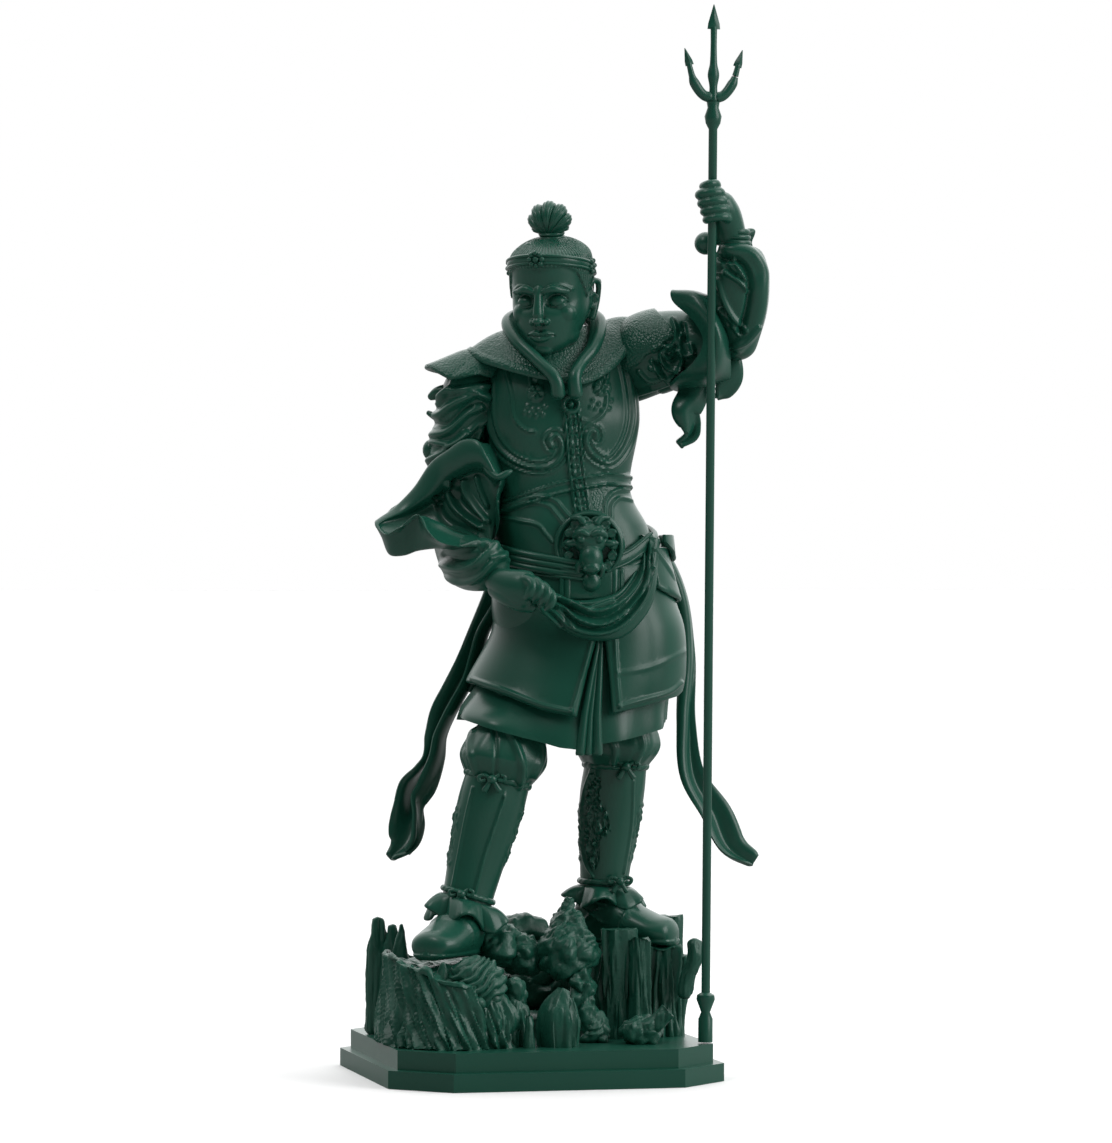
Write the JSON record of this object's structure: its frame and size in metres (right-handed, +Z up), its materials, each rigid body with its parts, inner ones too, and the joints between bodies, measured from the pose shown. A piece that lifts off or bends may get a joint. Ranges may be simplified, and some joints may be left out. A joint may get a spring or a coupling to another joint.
{
  "type": "guardian figure display model",
  "caption": "Moulded plastic display figure of an armoured temple guardian on rocks and a stepped plinth, holding a trident in its raised hand.",
  "frame": {"origin": "middle of the plinth's underside", "axes": "+Z up, the figure's chest faces -Y, its raised left arm is towards +X"},
  "size_m": [0.0975, 0.084, 0.2519],
  "materials": {
    "plinth_plastic": "satin dark green",
    "rockwork_plastic": "satin dark green",
    "guardian_plastic": "satin dark green",
    "trident_plastic": "satin dark green"
  },
  "bodies": {
    "root": {"plinth": "plinth_plastic", "rockwork": "rockwork_plastic", "guardian": "guardian_plastic", "trident": "trident_plastic"}
  },
  "joints": []
}
